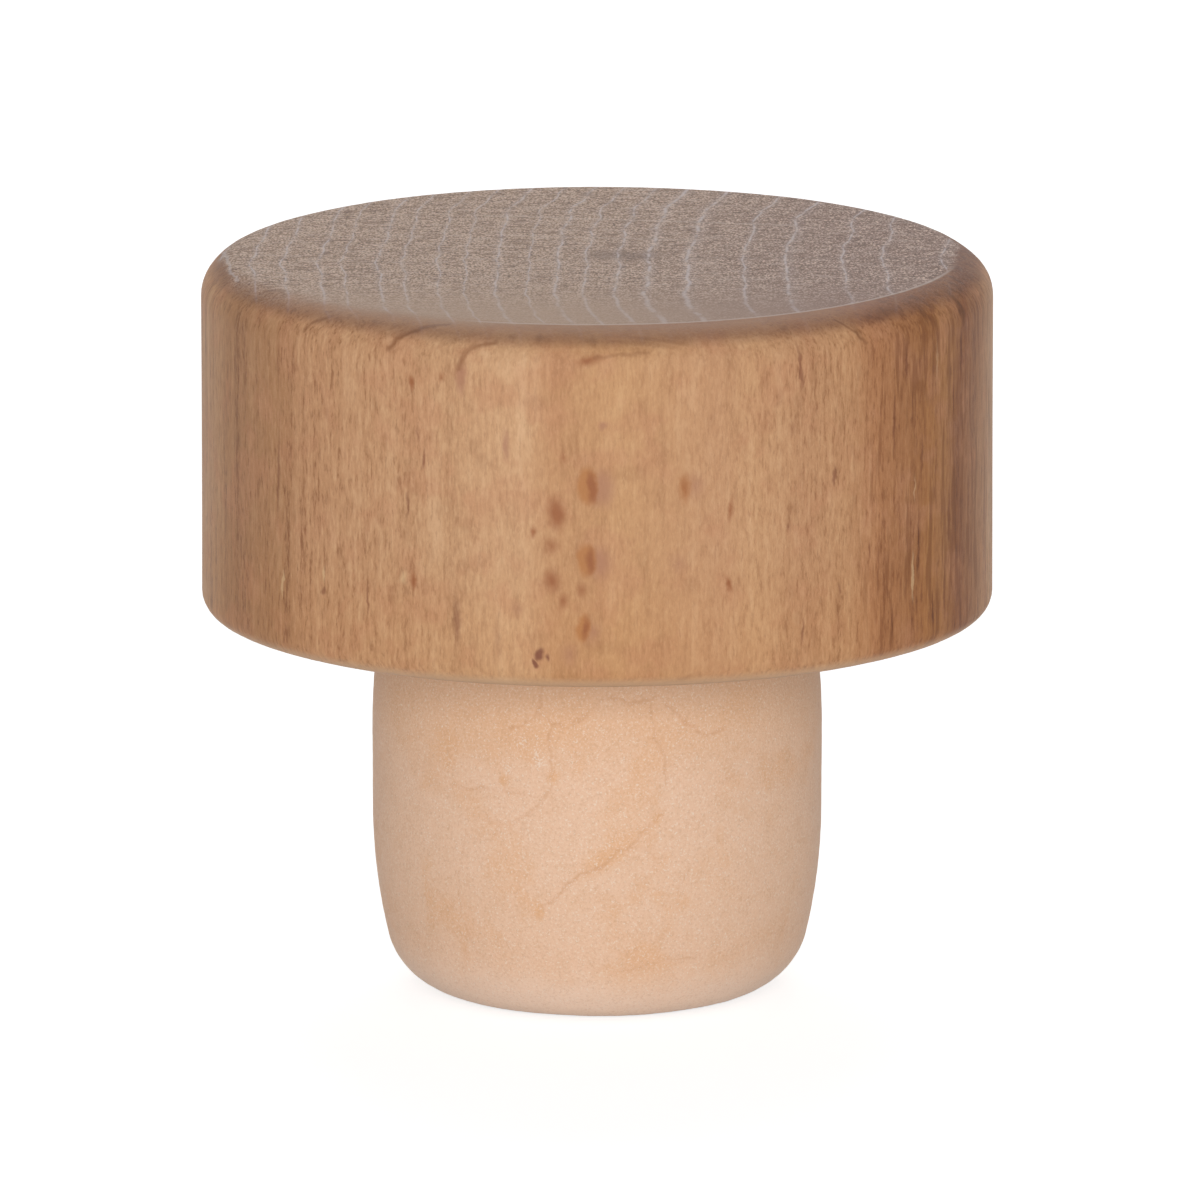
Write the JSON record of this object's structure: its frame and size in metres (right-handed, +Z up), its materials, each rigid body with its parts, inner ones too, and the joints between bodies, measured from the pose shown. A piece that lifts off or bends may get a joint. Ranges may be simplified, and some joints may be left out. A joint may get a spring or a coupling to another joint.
{
  "type": "bottle stopper",
  "caption": "Bar-top bottle stopper: a round wooden grip head with a flat top on a barrel-shaped synthetic cork shank that seals a bottle neck.",
  "frame": {"origin": "centre of the shank's flat foot", "axes": "+Z up the stopper's axis, from the foot to the head's flat top"},
  "size_m": [0.0342, 0.0342, 0.0322],
  "materials": {
    "beech": "oiled beech, satin",
    "synthetic_cork": "moulded foam, matte"
  },
  "bodies": {
    "root": {"wooden_head": "beech", "cork_shank": "synthetic_cork"}
  },
  "joints": []
}
